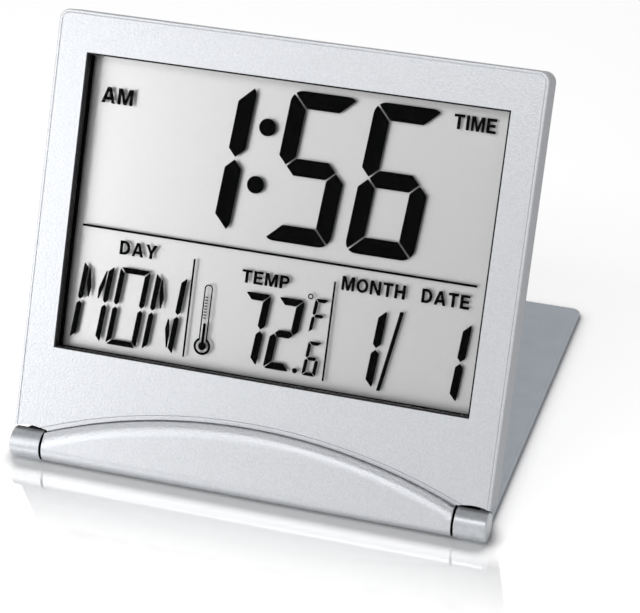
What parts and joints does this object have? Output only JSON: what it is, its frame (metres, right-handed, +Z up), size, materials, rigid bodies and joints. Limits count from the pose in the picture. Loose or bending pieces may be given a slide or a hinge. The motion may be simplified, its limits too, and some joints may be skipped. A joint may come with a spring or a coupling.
{
  "type": "travel alarm clock",
  "caption": "Folding digital travel alarm clock: a silver case with a large liquid-crystal display leans back on a hinged flat stand plate",
  "frame": {"origin": "middle of the footprint on the table, under the stand plate", "axes": "+X along the clock's width to the right of the face, +Y to the back, +Z up"},
  "size_m": [0.11, 0.102, 0.0931],
  "materials": {
    "silver_paint": "satin silver paint on moulded plastic, with a fine grain",
    "smooth_silver": "smooth satin silver paint on moulded plastic",
    "black_plastic": "matt black moulded plastic",
    "display_glass": "clear display glass and polariser",
    "reflector": "pale grey reflector film",
    "grey_plastic": "grey moulded plastic",
    "steel": "bright steel",
    "brass": "plain brass sheet",
    "board": "green glass-fibre circuit board",
    "ceramic": "unglazed ceramic",
    "contact_rubber": "silicone rubber"
  },
  "bodies": {
    "stand": {"stand_plate": "smooth_silver", "left_hinge_cap": "smooth_silver", "right_hinge_cap": "smooth_silver", "hinge_pins": "steel", "stand_screws": "steel"},
    "clock": {"case_rim": "silver_paint", "front_bezel": "silver_paint", "chin_bar": "silver_paint", "rear_cover": "silver_paint", "case_screws": "steel", "display_holder": "black_plastic", "front_polariser": "display_glass", "front_glass": "display_glass", "rear_glass": "display_glass", "reflector_film": "reflector", "contact_strip": "contact_rubber", "circuit_board": "board", "board_screws": "steel", "chip_dome": "black_plastic", "quartz_crystal": "steel", "capacitors": "ceramic", "resistors": "ceramic", "temperature_sensor": "black_plastic", "switch_domes": "steel", "buzzer_disc": "brass", "buzzer_ceramic": "ceramic", "buzzer_contacts": "brass", "coin_cell": "steel", "positive_contact": "brass", "negative_contact": "brass"},
    "door": {"battery_door": "silver_paint"},
    "mode": {"mode_button": "grey_plastic"},
    "set": {"set_button": "grey_plastic"},
    "up": {"up_button": "grey_plastic"},
    "down": {"down_button": "grey_plastic"}
  },
  "joints": [
    {"name": "fold", "type": "hinge", "parent": "stand", "child": "clock", "pos_m": [0, -0.04139, 0.0033], "axis": [-1, 0, 0], "range_deg": [0, 65]},
    {"name": "door_turn", "type": "hinge", "parent": "clock", "child": "door", "pos_m": [-0.024, -0.02, 0.0469], "axis": [0, -0.9092, 0.4163], "range_deg": [0, 40]},
    {"name": "mode_press", "type": "slide", "parent": "clock", "child": "mode", "axis": [0, -0.9092, 0.4163], "range_m": [0, 0.0004], "stiffness_N_per_m": 1500},
    {"name": "set_press", "type": "slide", "parent": "clock", "child": "set", "axis": [0, -0.9092, 0.4163], "range_m": [0, 0.0004], "stiffness_N_per_m": 1500},
    {"name": "up_press", "type": "slide", "parent": "clock", "child": "up", "axis": [0, -0.9092, 0.4163], "range_m": [0, 0.0004], "stiffness_N_per_m": 1500},
    {"name": "down_press", "type": "slide", "parent": "clock", "child": "down", "axis": [0, -0.9092, 0.4163], "range_m": [0, 0.0004], "stiffness_N_per_m": 1500}
  ]
}
